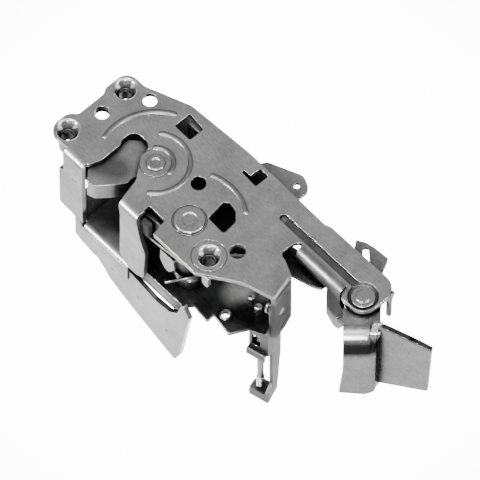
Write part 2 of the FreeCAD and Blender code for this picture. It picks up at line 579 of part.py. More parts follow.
def arm_rivet():
    seat = -RECESS_DEEP
    profile = [(0, seat + 1.8), (3.2, seat + 1.8, 0.4), (3.6, seat + 1.1, 0.5), (6.0, seat + 1.1, 0.6),
               (6.0, seat + 0.02), (ARM_SHANK, seat + 0.02), (ARM_SHANK, -ARM_TAIL), (6.5, -ARM_TAIL),
               (6.5, -ARM_TAIL - 1.8, 1), (0, -ARM_TAIL - 1.8)]
    return turned(ARM_PIVOT, profile)


def ring(centre, inner, outer, top, bottom):
    return rod(centre, outer, top, bottom).cut(rod(centre, inner, top - 1, bottom + 1))


# Lock lever, drawn in the right wall's own frame

STRAP_FACE = -PLATE - GAP
STRAP_END = 98.0
EAR_REACH = 11.2
EAR_NEAR = -1.2
PIN_PLACE = (-10.3, 3.0)
PIN_RADIUS = 1.7
EAR_LEVELS = (54.5, STRAP_END - SHEET)


def lock_lever():
    """Strap inside the right wall with two ears, one pin between them."""
    back = STRAP_FACE - SHEET
    middle = (STRAP_NEAR + STRAP_FAR) / 2
    strap = end([(STRAP_NEAR - 1.0, -13.5, 4), (STRAP_FAR + 1.4, -13.5, 4), (STRAP_FAR + 0.4, -30, 6),
                 (STRAP_FAR, -66), (STRAP_FAR - 3.0, -STRAP_END, 1), (STRAP_NEAR + 0.3, -STRAP_END, 1),
                 (STRAP_NEAR, -70), (STRAP_NEAR - 0.4, -30, 6)], back, STRAP_FACE)
    pieces = [strap]
    for level in EAR_LEVELS:
        pieces.append(flat([(STRAP_FACE - EAR_REACH, EAR_NEAR, 1), (STRAP_FACE, EAR_NEAR, 1),
                            (STRAP_FACE, STRAP_FAR - 3.0), (STRAP_FACE - EAR_REACH, STRAP_FAR - 3.0, 3)],
                           level, level + SHEET))
    left = STRAP_FACE - EAR_REACH
    upper = EAR_LEVELS[0] + SHEET
    panel = side([(left, -40.6, 1), (STRAP_FACE, -36.4, 1), (STRAP_FACE, -upper), (left, -upper)],
                 EAR_NEAR, EAR_NEAR + SHEET)
    window = side([(left + 1.7, -43.6, 0.5), (left + 6.4, -41.6, 0.5), (left + 6.4, -51.5, 0.5),
                   (left + 1.7, -52.5, 0.5)], EAR_NEAR - 1, EAR_NEAR + SHEET + 1)
    pieces.append(panel.cut(window))
    pieces.append(end([(EAR_NEAR + 1, -EAR_LEVELS[0]), (EAR_NEAR - 2.6, -EAR_LEVELS[0], 1.4),
                       (EAR_NEAR - 2.6, -upper - 2.6), (EAR_NEAR - 1.6, -upper - 2.6),
                       (EAR_NEAR - 1.6, -upper, 0.5), (EAR_NEAR + 1, -upper)], left, STRAP_FACE - 0.8))
    pieces.append(side([(left, -STRAP_END + 1), (STRAP_FACE, -STRAP_END + 1),
                        (STRAP_FACE, -STRAP_END - 4.5, 1), (left, -STRAP_END - 4.5, 1)],
                       EAR_NEAR, EAR_NEAR + SHEET))
    pieces.append(end([(EAR_NEAR, -37.0, 1), (middle, -34.0), (middle, -56), (EAR_NEAR, -56)],
                      back, STRAP_FACE))
    pieces.append(end([(EAR_NEAR, -STRAP_END + 4), (middle, -STRAP_END + 12), (middle, -STRAP_END),
                       (EAR_NEAR, -STRAP_END - 4)], back, STRAP_FACE))
    body = joined(pieces)
    bore = Part.makeCylinder(3.0 + RUN, 6, Vector(back - 2, LOCK_PIVOT[0], LOCK_PIVOT[1]), Vector(1, 0, 0))
    holes = [rod(PIN_PLACE, PIN_RADIUS, 50, STRAP_END + 8), bore]
    return from_wall(without(body, holes))


def lock_rivet():
    """Shouldered stud in the right wall, flush outside, that carries the lock lever."""
    profile = [(0, -0.05), (STUD_NECK, -0.05), (STUD_NECK, -PLATE - 0.02), (3.0, -PLATE - 0.02),
               (3.0, -6.0), (4.6, -6.0), (4.6, -7.4, 0.6), (0, -7.4)]
    body = turned((0, 0), profile)
    body = body.rotated(Vector(0, 0, 0), Vector(0, 1, 0), 90)
    return from_wall(body.translated(Vector(0, *LOCK_PIVOT)))


def rod_pin():
    top, bottom = EAR_LEVELS[0] - 8.4, EAR_LEVELS[1] + SHEET + 6.0
    body = rod(PIN_PLACE, PIN_RADIUS, top, bottom)
    head = rod(PIN_PLACE, PIN_RADIUS + 0.4, top - 1.2, top)
    return from_wall(joined([body, head]))


def release_lever():
    """Flat lever on the pawl's pivot: an arm to the link, and the leaf inside the open side."""
    top = EAR_TOP + SHEET + GAP
    bottom = top + SHEET
    x, y = PAWL_PIVOT
    pin_x, pin_y = RELEASE_PIN
    body = flat([(x - 8, y, 6), (x - 5.8, -7.4, 1), (x + 3.6, -7.4, 1), (x + 7, y - 3, 4),
                 (pin_x + 4.5, pin_y - 1.5, 3), (pin_x - 1.0, pin_y + 5.0, 3), (x - 6, y + 8, 5)],
                top, bottom)
    leaf = side([(x - 5.8, -top), (x + 3.6, -top), (x + 4.2, -top - 8, 4), (x - 1.0, -top - 17, 2.5),
                 (x - 6.0, -top - 9, 4)], -7.4, -7.4 + SHEET)
    pin = rod(RELEASE_PIN, CRANK_PIN, LINK_TOP, top + 0.5)
    body = joined([body, leaf, pin])
    return body.cut(rod(PAWL_PIVOT, PAWL_BORE + RUN, top - 1, bottom + 1))


def bumper():
    """Stop block under the released pawl's back edge."""
    heel, back = pawl_point(*PAWL_HEEL), pawl_point(*PAWL_BACK)
    left, right = back[0] + 0.8, back[0] + 6.2
    slope = (heel[1] - back[1]) / (heel[0] - back[0])
    far = back[1] + slope * (left - back[0]) - BUMPER_GAP
    return flat([(left, far - 3.3, 0.8), (right, far - 3.3, 0.8), (right, far, 0.8), (left, far, 0.8)],
                PAWL_TOP + 1.5, EAR_TOP)


def coil(centre, radius, wire, turns, top, legs):
    """Close-wound torsion spring about an upright axis; legs are (direction, length) pairs."""
    pitch = 2.1 * wire
    profile = [(radius - wire, -top - pitch * turns), (radius - wire, -top)]
    for turn in range(turns):
        z = -top - pitch * turn
        profile += [(radius + 0.3 * wire, z), (radius + wire, z - 0.3 * pitch),
                    (radius + wire, z - 0.7 * pitch)]
    profile.append((radius + 0.3 * wire, -top - pitch * turns))
    pieces = [turned(centre, profile)]
    for i, (direction, length) in enumerate(legs):
        level = top + pitch * (0.5 + i * (turns - 1))
        start = polar(centre, radius, direction - 90)
        turn = math.radians(direction)
        pieces.append(Part.makeCylinder(0.9 * wire, length, Vector(start[0], start[1], -level),
                                        Vector(math.cos(turn), math.sin(turn), 0)))
    return joined(pieces)


def eyelet():
    outer = EYELET_BORE + 1.0
    profile = [(EYELET_BORE, -FLOOR_TOP + 1.6), (outer, -FLOOR_TOP + 1.6, 0.7), (outer, -FLOOR_TOP),
               (EYELET_BORE, -FLOOR_TOP)]
    return turned(EYELET_PLACE, profile)


def stud(centre, radius, height):
    profile = [(0, -FLOOR_TOP + height), (radius, -FLOOR_TOP + height, radius * 0.6),
               (radius, -FLOOR_TOP), (0, -FLOOR_TOP)]
    return turned(centre, profile)


save("face_plate", face_plate())
save("ear_plate", ear_plate())
save("back_plate", back_plate())
save("fork_rivet", long_pivot(FORK_PIVOT, FORK_BORE, FORK_HEAD, 0.9))
save("pawl_rivet", long_pivot(PAWL_PIVOT, PAWL_BORE, PAWL_HEAD, 1.4))
save("arm_rivet", arm_rivet())
save("fork_bolt", fork_bolt())
save("pawl", pawl())
save("fork_spacer", ring(FORK_PIVOT, FORK_BORE, FORK_BORE + 1.2, EAR_TOP + SHEET, FLOOR_TOP))
save("pawl_spacer", ring(PAWL_PIVOT, PAWL_BORE, PAWL_BORE + 1.2, EAR_TOP + 2 * SHEET + 2 * GAP, FLOOR_TOP))
save("bumper", bumper())
save("release_lever", release_lever())
save("handle_lever", handle_lever())
save("arm_washer", ring(ARM_PIVOT, ARM_SHANK, 7.0, WASHER_TOP, WASHER_TOP + WASHER_THICK))
save("slotted_lever", slotted_lever())
save("transfer_link", transfer_link())
save("lock_lever", lock_lever())
save("lock_rivet", lock_rivet())
save("rod_pin", rod_pin())
save("eyelet", eyelet())
save("stud_a", stud((10.2, 18.1), 1.8, 8.0))
save("stud_b", stud((16.0, 17.2), 2.0, 7.0))
save("fork_spring", coil(FORK_PIVOT, 6.6, 0.7, 4, EAR_TOP + SHEET + 2, [(20, 12), (200, 12)]))
save("pawl_spring", coil(PAWL_PIVOT, 7.6, 0.8, 4, 40, [(60, 14), (230, 12)]))
save("arm_spring", coil(ARM_PIVOT, 5.4, 0.6, 3, LINK_TOP + SHEET + GAP, [(150, 10), (265, 12)]))
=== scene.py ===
import math

import bmesh
import bpy
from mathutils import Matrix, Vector


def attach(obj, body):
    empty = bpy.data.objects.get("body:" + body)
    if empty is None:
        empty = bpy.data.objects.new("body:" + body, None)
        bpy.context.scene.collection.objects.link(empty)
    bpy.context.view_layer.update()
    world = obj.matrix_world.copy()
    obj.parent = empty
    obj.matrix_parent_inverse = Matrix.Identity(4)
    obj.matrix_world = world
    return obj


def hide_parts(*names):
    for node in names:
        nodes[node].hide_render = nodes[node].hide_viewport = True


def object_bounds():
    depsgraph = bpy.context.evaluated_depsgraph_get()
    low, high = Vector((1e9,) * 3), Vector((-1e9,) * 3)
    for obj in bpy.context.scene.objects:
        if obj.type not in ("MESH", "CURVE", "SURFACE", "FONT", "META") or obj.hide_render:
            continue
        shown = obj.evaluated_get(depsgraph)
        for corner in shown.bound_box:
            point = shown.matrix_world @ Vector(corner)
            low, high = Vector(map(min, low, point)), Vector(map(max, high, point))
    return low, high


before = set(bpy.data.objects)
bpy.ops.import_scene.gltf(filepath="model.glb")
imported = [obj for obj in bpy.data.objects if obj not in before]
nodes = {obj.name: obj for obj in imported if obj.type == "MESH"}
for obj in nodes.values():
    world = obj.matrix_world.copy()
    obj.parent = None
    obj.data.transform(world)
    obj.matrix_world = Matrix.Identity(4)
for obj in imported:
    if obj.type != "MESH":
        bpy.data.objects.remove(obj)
cad_low, cad_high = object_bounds()

MM = 0.001

# Camera: the photograph is 480 pixels wide at 2.1 pixels per millimetre
VIEW_AZIMUTH = 47.0
VIEW_ELEVATION = 60.0
IMAGE_SIDE = 480
PIXELS_PER_MM = 2.1
LENS = 1000.0
SENSOR = 36.0
CLIP = (0.1, 60.0)
VIEW_CENTRE = Vector((3.63, 16.8, 0.0)) * MM

# Places and sizes that part.py gives, in millimetres
SCREW_PLACES = {"a": (-97.1, -2.0, 0.0), "b": (-95.0, 33.6, 0.0), "c": (0.0, 0.0, 0.0)}
THREAD_BORE = 3.3
DISH_RADIUS = 6.1
PLATE = 2.5                  # face sheet
RIB_HEIGHT = 1.0
COLLAR_HOLES = {"a": ((-92.9, 16.5), 3.7), "d": ((7.5, 11.7), 4.0)}    # place and radius
FORK_PIVOT = (-55.0, 16.4)
PAWL_PIVOT = (-20.6, 6.5)
ARM_PIVOT = (66.0, 38.6)
LEVER_TURN = 47.0            # the handle lever's own direction at rest, in degrees
PIN_PLACE, PIN_RADIUS = (28.28, 7.22), 1.7
GROOVE_Y = 40.4              # middle of the arm's long groove
EAR_UNDER = 17.5             # underside of the ear plate, below the outer face
ARM_SPRING_TOP = 13.5        # just under the transfer link, below the outer face

# Lines (start, end) on the part, with soft regions round them that are lighter or darker as painted
# light and painted shade
GUIDE_LINE = ((-59.0, 45.0, -8.0), (-57.0, 45.0, -8.0))
WALL_LINE = ((37.0, 12.5, -13.0), (37.0, 13.5, -31.0))
TAB_LINE = ((52.0, 32.0, -13.0), (54.0, 32.0, -20.0))
FLANGE_LINE = ((82.3, 31.4, -10.0), (82.3, 31.4, -56.0))
BEND_LINE = ((73.6, 15.6, -14.2), (83.6, 26.3, -14.2))
EDGE_LINE = ((-76.8, -10.0, -3.0), (-76.8, -10.0, -40.0))
FORK_LINE = ((-76.0, -4.0, -1.0), (-66.0, 2.0, -1.0))
LIP_LINE = ((27.0, 34.4, -1.0), (56.0, 34.4, -1.0))
GROOVE_LINE = ((12.0, GROOVE_Y, -0.8), (58.0, GROOVE_Y, -0.8))
WEDGE_LINES = (((84.2, 35.3, -1.6), (96.9, 41.8, -5.5)), ((96.9, 41.8, -5.5), (105.7, 46.3, -9.1)))
WINDOW_LINE = ((-23.0, 49.0, -15.5), (-21.0, 51.0, -15.5))
SHINE_LINE = ((0.8, 16.6, -55.0), (2.2, 17.0, -55.0))
CORNER_LINE = ((-60.0, -9.0, -55.0), (-52.0, -9.0, -55.0))
STUD_LINE = ((12.0, 13.0, -55.0), (21.0, 19.0, -55.0))
FLOOR_LINE = ((-74.0, 8.0, -55.0), (-50.0, 10.0, -55.0))

# Plating: pattern scales in features per metre, reaches in metres
CLOUD_SCALE, GRAIN_SCALE, SMEAR_SCALE = 48, 1100, 130
FINE_SCALE, WAVE_SCALE = 1700, 45
EDGE_WIDTH = 0.0004           # width of edges lightened as wear and painted highlight, and radius of the soft ones
BUMP_DEPTH = 0.0004
# reaches of the painted shade in hollows and in crevices
CAVE_REACH, CREVICE_REACH = 0.060, 0.004
EDGE_ROUGHNESS, DISH_ROUGHNESS = 0.24, 0.16
# the bores' near-black tone is painted shade
DISH_TONE, BORE_SHADE = 0.46, 0.07
DISH_BLUR, BORE_BLUR, BORE_RIM = 0.5, 0.2, 0.3      # in millimetres
LIT_BLUR, SHADE_BLUR = 0.7, 0.55            # share of a region's radius in which it fades out
MATT_BLUR = 0.2              # the same for a matt region, in millimetres
BEVEL_SAMPLES, HOLLOW_SAMPLES = 4, 8

# Drawn pieces, in millimetres
SMOOTH_ANGLE = 40            # edges sharper than this stay crisp, in degrees
THREAD_TOP, THREAD_END = -4.4, -7.4
THREAD_PITCH, THREAD_STEPS = 1.25, 40      # steps in each turn
RIDGE_FOOT, RIDGE_TIP = 0.5, 0.08          # half widths of a thread ridge
RIDGE_SUNK = 0.05            # how far a ridge starts inside the metal
BORE_RIDGE, PIN_RIDGE = 0.42, 0.35         # how far it stands out of a bore's wall and of the pin
SLEEVE_SIDES = 48
BOSS_WALL, BOSS_GAP, BOSS_END = 1.2, 0.1, -15.0     # the gap is under the thread
COLLAR_WALL, COLLAR_DEPTH = 0.9, 2.6
PIN_THREADS = {"upper": (-45.6, -53.6), "lower": (-87.0, -96.0)}    # top and bottom
WIRE_SIDES, WIRE_STEP = 12, 9              # step along a spring's turns, in degrees
SPRING_PITCH = 2.1           # in wire radii
BEND_RADIUS, BEND_SHEET, BEND_STEPS = 7.4, 0.9, 16
BEND_Y, BEND_Z, BEND_BOTTOM = -13.9, -11.6, -25.6
# Places along the lever, and how far its corner falls back there
BEND_COLUMNS = ((-9.6, 0.0), (1.8, 0.0), (2.6, 0.12), (3.4, 0.5))

# Floor and light, in metres
FLOOR_DROP = 0.36            # the floor lies this far below the lowest point
FLOOR_HALF = 12.0
TABLE_RISE = 0.04            # height of the table lights above the floor
SKY, LOW_SKY = 0.45, 0.14    # brightness of the even sky, and of its foot


def put(name, data):
    """New object of the scene for a mesh, lamp or camera."""
    item = bpy.data.objects.new(name, data)
    bpy.context.scene.collection.objects.link(item)
    return item


# Camera

def direction(azimuth, elevation):
    a, e = math.radians(azimuth), math.radians(elevation)
    return Vector((math.sin(a) * math.cos(e), -math.cos(a) * math.cos(e), math.sin(e)))


def aim(item, azimuth, elevation, distance):
    """Place a camera or lamp at a distance from the view's centre, facing that centre."""
    back = direction(azimuth, elevation)
    item.location = VIEW_CENTRE + back * distance
    item.rotation_mode = "QUATERNION"
    item.rotation_quaternion = (-back).to_track_quat("-Z", "Y")


def make_camera():
    data = bpy.data.cameras.new("camera")
    data.lens = LENS
    data.sensor_width = SENSOR
    data.clip_start, data.clip_end = CLIP
    camera = put("camera", data)
    width = IMAGE_SIDE / PIXELS_PER_MM * MM
    aim(camera, VIEW_AZIMUTH, VIEW_ELEVATION, width * LENS / SENSOR)
    bpy.context.scene.camera = camera


make_camera()


# Materials

def add_node(tree, kind, inputs, operation=None):
    """New shader node; each of its inputs, by name or number, takes a socket or a fixed value."""
    node = tree.nodes.new("ShaderNode" + kind)
    if operation:
        node.operation = operation
    for key, value in inputs.items():
        if isinstance(value, bpy.types.NodeSocket):
            tree.links.new(value, node.inputs[key])
        else:
            node.inputs[key].default_value = value
    return node


def own_place(tree):
    """Place of a point in the piece's own frame, in metres."""
    return add_node(tree, "TexCoord", {}).outputs["Object"]


def ramp(tree, source, stops):
    """Colour ramp from (position, grey) stops, fed by a socket."""
    node = add_node(tree, "ValToRGB", {"Fac": source})
    elements = node.color_ramp.elements
    while len(elements) < len(stops):
        elements.new(0.5)
    for element, (position, value) in zip(elements, stops):
        element.position = position
        element.color = (value, value, value, 1)
    return node.outputs["Color"]


def noise(tree, scale, stretch=(1, 1, 1), detail=4.0, rough=0.6, offset=(0, 0, 0)):
    """Noise in the piece's own frame, with scale in features per metre."""
    mapping = add_node(tree, "Mapping", {"Scale": stretch, "Location": offset,
                                         "Vector": own_place(tree)})
    node = add_node(tree, "TexNoise", {"Scale": scale, "Detail": detail, "Roughness": rough,
                                       "Vector": mapping.outputs["Vector"]})
    return node.outputs["Fac"]


def mixed(tree, mode, factor, a, b):
    """Colour mix of two sockets or greys; factor is a number or a socket."""
    node = tree.nodes.new("ShaderNodeMix")
    node.data_type = "RGBA"
    node.blend_type = mode
    for name, value in (("Factor", factor), ("A", a), ("B", b)):
        socket = [s for s in node.inputs if s.name == name and s.enabled][0]
        if isinstance(value, bpy.types.NodeSocket):
            tree.links.new(value, socket)
        elif name == "Factor":
            socket.default_value = value
        else:
            socket.default_value = (value, value, value, 1)
    return [s for s in node.outputs if s.enabled][0]


def rounded_normal(tree):
    """Surface direction with its edges softened."""
    node = add_node(tree, "Bevel", {"Radius": EDGE_WIDTH})
    node.samples = BEVEL_SAMPLES
    return node.outputs["Normal"]


def edge_mask(tree):
    """White where the surface turns, for edges lightened as wear and as painted highlight."""
    geometry = add_node(tree, "NewGeometry", {})
    dot = add_node(tree, "VectorMath", {0: rounded_normal(tree), 1: geometry.outputs["Normal"]},
                   "DOT_PRODUCT")
    return ramp(tree, dot.outputs["Value"], [(0.90, 1.0), (0.995, 0.0)])


def hollow(tree, reach, stops):
    """Painted shade: grey that falls where the surroundings close in within a reach."""
    node = add_node(tree, "AmbientOcclusion", {"Distance": reach})
    node.samples = HOLLOW_SAMPLES
    return ramp(tree, node.outputs["AO"], stops)


def faded(tree, distance, radius, blur):
    """White below a radius in millimetres and black past it, from a distance socket in metres."""
    node = add_node(tree, "MapRange", {"From Min": radius * MM, "From Max": (radius - blur) * MM,
                                       "Value": distance})
    return node.outputs["Result"]


def near(tree, places, radius, blur):
    """White within a radius of any of the places, seen in plan."""
    flat = add_node(tree, "VectorMath", {0: own_place(tree), 1: (1, 1, 0)}, "MULTIPLY")
    total = None
    for place in places:
        reach = add_node(tree, "VectorMath", {0: flat.outputs["Vector"], 1: Vector(place) * MM},
                         "DISTANCE")
        inside = faded(tree, reach.outputs["Value"], radius, blur)
        if total is None:
            total = inside
        else:
            total = add_node(tree, "Math", {0: total, 1: inside}, "MAXIMUM").outputs["Value"]
    return total


def along(tree, line, radius, blur):
    """White within a radius of a straight line between two places."""
    start = Vector(line[0]) * MM
    run = Vector(line[1]) * MM - start
    away = add_node(tree, "VectorMath", {0: own_place(tree), 1: start}, "SUBTRACT").outputs["Vector"]
    share = add_node(tree, "VectorMath", {0: away, 1: run / run.length_squared}, "DOT_PRODUCT")
    kept = add_node(tree, "Clamp", {"Value": share.outputs["Value"]})
    foot = add_node(tree, "VectorMath", {0: run, "Scale": kept.outputs["Result"]}, "SCALE")
    reach = add_node(tree, "VectorMath", {0: away, 1: foot.outputs["Vector"]}, "DISTANCE")
    return faded(tree, reach.outputs["Value"], radius, blur)


def rib_foot_shade(tree):
    """Painted shade: grey that darkens the foot of the ribs that stand out of the face, and their
    tops less.
    """
    parts = add_node(tree, "SeparateXYZ", {"Vector": own_place(tree)})
    height = add_node(tree, "MapRange", {"From Max": RIB_HEIGHT * MM, "Value": parts.outputs["Z"]})
    return ramp(tree, height.outputs["Result"],
                [(0.02, 1.0), (0.12, 0.30), (0.40, 0.45), (0.90, 0.80)])


def new_material(name):
    """New material with its node tree and shader."""
    material = bpy.data.materials.new(name)
    material.use_nodes = True
    return material, material.node_tree, material.node_tree.nodes["Principled BSDF"]


def plated(name, tone, rough, grain_along=(1, 1, 1), bump=0.12, wear_and_glint=0.12, cave_shade=0.95,
           dished=False, lit=(), painted_shade=(), glance=1.0, matt=None):
    """Satin zinc-plated steel: cloudy plating, fine grain, edges lightened as wear and painted
    highlight, and painted shade in corners.

    lit, matt and the darkened regions are given as (line, radius, share): lit ones lift the painted
    shade of deep corners to their share, which paints light there; darkened ones bring the steel
    and its reflection down to it as painted shade; and the matt one is metal only by its share.
    glance is how bright the steel stays at a low angle. dished is for the face plate, whose screw
    places and ribs have tones of their own, with painted shade in the bores and at the ribs' foot.
    """
    material, tree, shader = new_material(name)
    shader.inputs["Metallic"].default_value = 1.0
    shader.inputs["Specular Tint"].default_value = (glance, glance, glance, 1)
    cloud = ramp(tree, noise(tree, CLOUD_SCALE, detail=6), [(0.3, tone * 0.76), (0.7, tone * 1.10)])
    grain = ramp(tree, noise(tree, GRAIN_SCALE, grain_along, detail=3), [(0.35, 0.74), (0.65, 1.0)])
    colour = mixed(tree, "MULTIPLY", 0.85, cloud, grain)
    # Edges are lightened as wear and as a painted highlight
    edges = edge_mask(tree)
    colour = mixed(tree, "MIX", edges, colour, min(1.0, tone * (1.0 + wear_and_glint)))
    # Painted shade where hollows and crevices close in
    deep = hollow(tree, CAVE_REACH, [(0.50, 1.0 - cave_shade), (0.90, 1.0)])
    close = hollow(tree, CREVICE_REACH, [(0.15, 0.45), (0.60, 1.0)])
    if dished:
        dish = near(tree, SCREW_PLACES.values(), DISH_RADIUS, DISH_BLUR)
        bore = near(tree, SCREW_PLACES.values(), THREAD_BORE + BORE_RIM, BORE_BLUR)
        deep = mixed(tree, "MIX", dish, deep, 1.0)
        close = mixed(tree, "MIX", dish, close, 1.0)
        colour = mixed(tree, "MIX", dish, colour, DISH_TONE)
        # The bores are darkened as painted shade
        colour = mixed(tree, "MIX", bore, colour, BORE_SHADE)
        # Painted shade at the foot of the ribs, less on their tops
        colour = mixed(tree, "MULTIPLY", 1.0, colour, rib_foot_shade(tree))
    # Painted light: lit regions lift the painted shade of deep corners to their share
    for line, radius, share in lit:
        deep = mixed(tree, "MIX", along(tree, line, radius, radius * LIT_BLUR), deep, share)
    colour = mixed(tree, "MULTIPLY", 1.0, colour, deep)
    colour = mixed(tree, "MULTIPLY", 1.0, colour, close)
    if matt:
        line, radius, share = matt
        metal = mixed(tree, "MIX", along(tree, line, radius, MATT_BLUR), 1.0, share)
        tree.links.new(metal, shader.inputs["Metallic"])
    # Painted shade: the darkened regions dim the steel's colour and its reflection
    tint = glance
    for line, radius, share in painted_shade:
        inside = along(tree, line, radius, radius * SHADE_BLUR)
        colour = mixed(tree, "MULTIPLY", inside, colour, share)
        tint = mixed(tree, "MULTIPLY", inside, tint, share ** 0.5)
    if painted_shade:
        tree.links.new(tint, shader.inputs["Specular Tint"])
    smear = noise(tree, SMEAR_SCALE, (1, 0.5, 1), detail=6, rough=0.7, offset=(3, 1, 2))
    roughness = ramp(tree, smear, [(0.3, rough * 0.80), (0.75, min(1.0, rough * 1.25))])
    roughness = mixed(tree, "MIX", edges, roughness, EDGE_ROUGHNESS)
    if dished:
        roughness = mixed(tree, "MIX", dish, roughness, DISH_ROUGHNESS)
    tree.links.new(colour, shader.inputs["Base Color"])
    tree.links.new(roughness, shader.inputs["Roughness"])
    fine = noise(tree, FINE_SCALE, grain_along, detail=2)
    wave = noise(tree, WAVE_SCALE, detail=1.5, offset=(1, 5, 3))
    relief = add_node(tree, "Bump", {"Strength": bump, "Distance": BUMP_DEPTH,
                                     "Height": mixed(tree, "MIX", 0.6, fine, wave),
                                     "Normal": rounded_normal(tree)})
    tree.links.new(relief.outputs["Normal"], shader.inputs["Normal"])
    return material


def rubber(name):
    """Dull black rubber with a fine uneven skin."""
    material, tree, shader = new_material(name)
    tone = ramp(tree, noise(tree, 700, detail=4), [(0.3, 0.012), (0.7, 0.03)])
    tree.links.new(tone, shader.inputs["Base Color"])
    rough = ramp(tree, noise(tree, 400, detail=3, offset=(2, 2, 0)), [(0.3, 0.55), (0.7, 0.75)])
    tree.links.new(rough, shader.inputs["Roughness"])
    relief = add_node(tree, "Bump", {"Strength": 0.2, "Distance": 0.0003,
                                     "Height": noise(tree, 1200, detail=3)})
    tree.links.new(relief.outputs["Normal"], shader.inputs["Normal"])
    return material


# Lit regions of these steels are painted light, darkened ones painted shade; the box floor's shine
# is a painted reflection
FACE_STEEL = plated("face_steel", 0.60, 0.36, (0.35, 1, 1), dished=True, lit=[(EDGE_LINE, 4.5, 1.0)],
                    matt=(EDGE_LINE, 1.45, 0.25),
                    painted_shade=[(WALL_LINE, 16.0, 0.24), (TAB_LINE, 12.0, 0.26), (LIP_LINE, 3.6, 0.30),
                          (GROOVE_LINE, 2.6, 0.42)], wear_and_glint=0.3, bump=0.3)
SHEET_STEEL = plated("sheet_steel", 0.60, 0.36, (0.35, 1, 1))
EAR_STEEL = plated("ear_steel", 0.60, 0.36, (0.35, 1, 1), lit=[(GUIDE_LINE, 9.0, 0.8)],
                   painted_shade=[(WINDOW_LINE, 9.0, 0.12)])
BACK_STEEL = plated("back_steel", 0.60, 0.34, (0.35, 1, 1), bump=0.3,
                    lit=[(SHINE_LINE, 9.0, 0.95), (CORNER_LINE, 9.0, 0.8)],
                    painted_shade=[(FLOOR_LINE, 18.0, 0.35), (STUD_LINE, 10.0, 0.20)])
LEVER_STEEL = plated("lever_steel", 0.53, 0.28, (1, 0.4, 1), bump=0.4,
                     painted_shade=[(FLANGE_LINE, 4.6, 0.55), (BEND_LINE, 8.5, 0.10)]
                     + [(line, 2.2, 0.20) for line in WEDGE_LINES])
# The lock lever's steel is darker and dimmer at a low angle as painted shade, its edges lightened as
# wear and painted highlight
LOCK_STEEL = plated("lock_steel", 0.26, 0.32, (1, 0.4, 1), wear_and_glint=1.2, glance=0.75)
FORK_STEEL = plated("fork_steel", 0.60, 0.34, (1, 1, 0.4), painted_shade=[(FORK_LINE, 9.0, 0.40)])
# Rivets and studs keep less of the painted shade in hollows, the studs least, so they stay light
RIVET_STEEL = plated("rivet_steel", 0.64, 0.26, bump=0.08, cave_shade=0.85)
STUD_STEEL = plated("stud_steel", 0.66, 0.26, bump=0.08, cave_shade=0.25)
SPRING_STEEL = plated("spring_steel", 0.40, 0.24, bump=0.05)
# The spacers inside the case are darker as painted shade
INNER_STEEL = plated("inner_steel", 0.30, 0.45, bump=0.15)
# The hole collars are near black as painted shade inside the holes
COLLAR_STEEL = plated("collar_steel", 0.10, 0.45, glance=0.5)
RUBBER = rubber("rubber")

# Nodes that aren't named here are rivets, pins and other small round pieces
FINISHES = {
    "face_plate": FACE_STEEL, "ear_plate": EAR_STEEL, "back_plate": BACK_STEEL,
    "fork_bolt": FORK_STEEL, "pawl": FORK_STEEL, "bumper": RUBBER,
    "release_lever": LEVER_STEEL, "handle_lever": LEVER_STEEL, "slotted_lever": LEVER_STEEL,
    "transfer_link": LEVER_STEEL, "lock_lever": LOCK_STEEL,
    "fork_spacer": INNER_STEEL, "pawl_spacer": INNER_STEEL,
    "stud_a": STUD_STEEL, "stud_b": STUD_STEEL,
}


def paint(piece, material):
    piece.data.materials.clear()
    piece.data.materials.append(material)


for name, node in nodes.items():
    paint(node, FINISHES.get(name, RIVET_STEEL))


# Pieces made in the scene

def add_piece(name, mesh, body, material):
    piece = put(name, mesh)
    paint(piece, material)
    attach(piece, body)
    return piece


def shade(piece):
    """Smooth shading inside curved stretches, with crisp edges kept."""
    piece.data.shade_smooth()
    piece.data.set_sharp_from_angle(angle=math.radians(SMOOTH_ANGLE))


def around(centre, radius, degrees, z):
    """Point at a radius from an upright axis, in millimetres."""
    turn = math.radians(degrees)
    return Vector((centre[0] + radius * math.cos(turn), centre[1] + radius * math.sin(turn), z))


def skin(name, rows, closed=False):
    """Mesh over rows of points in millimetres; the ends are joined if closed, and capped if not."""
    mesh = bpy.data.meshes.new(name)
    bm = bmesh.new()
    rows = [[bm.verts.new(point * MM) for point in row] for row in rows]
    for a, b in zip(rows, rows[1:] + (rows[:1] if closed else [])):
        for k in range(len(a)):
            after = (k + 1) % len(a)
            bm.faces.new((a[k], a[after], b[after], b[k]))
    if not closed:
        bm.faces.new(list(reversed(rows[0])))
        bm.faces.new(rows[-1])
    bmesh.ops.recalc_face_normals(bm, faces=bm.faces)
    bm.to_mesh(mesh)
    bm.free()
    return mesh


def thread(name, centre, root, crest, top, bottom, body, material):
    """Thread ridge wound round an upright axis, from a root radius to a crest radius."""
    ridge = ((root, RIDGE_FOOT), (crest, RIDGE_TIP), (crest, -RIDGE_TIP), (root, -RIDGE_FOOT))
    turns = (top - bottom) / THREAD_PITCH
    steps = int(turns * THREAD_STEPS)
    rows = []
    for i in range(steps + 1):
        done = turns * i / steps
        rows.append([around(centre, radius, 360 * done, top - THREAD_PITCH * done + rise)
                     for radius, rise in ridge])
    shade(add_piece(name, skin(name, rows), body, material))


for label, centre in SCREW_PLACES.items():
    thread("thread_" + label, centre, THREAD_BORE + RIDGE_SUNK, THREAD_BORE - BORE_RIDGE,
           THREAD_TOP, THREAD_END, "frame", SHEET_STEEL)
for label, (top, bottom) in PIN_THREADS.items():
    thread("pin_thread_" + label, PIN_PLACE, PIN_RADIUS - RIDGE_SUNK, PIN_RADIUS + PIN_RIDGE,
           top, bottom, "lock", RIVET_STEEL)


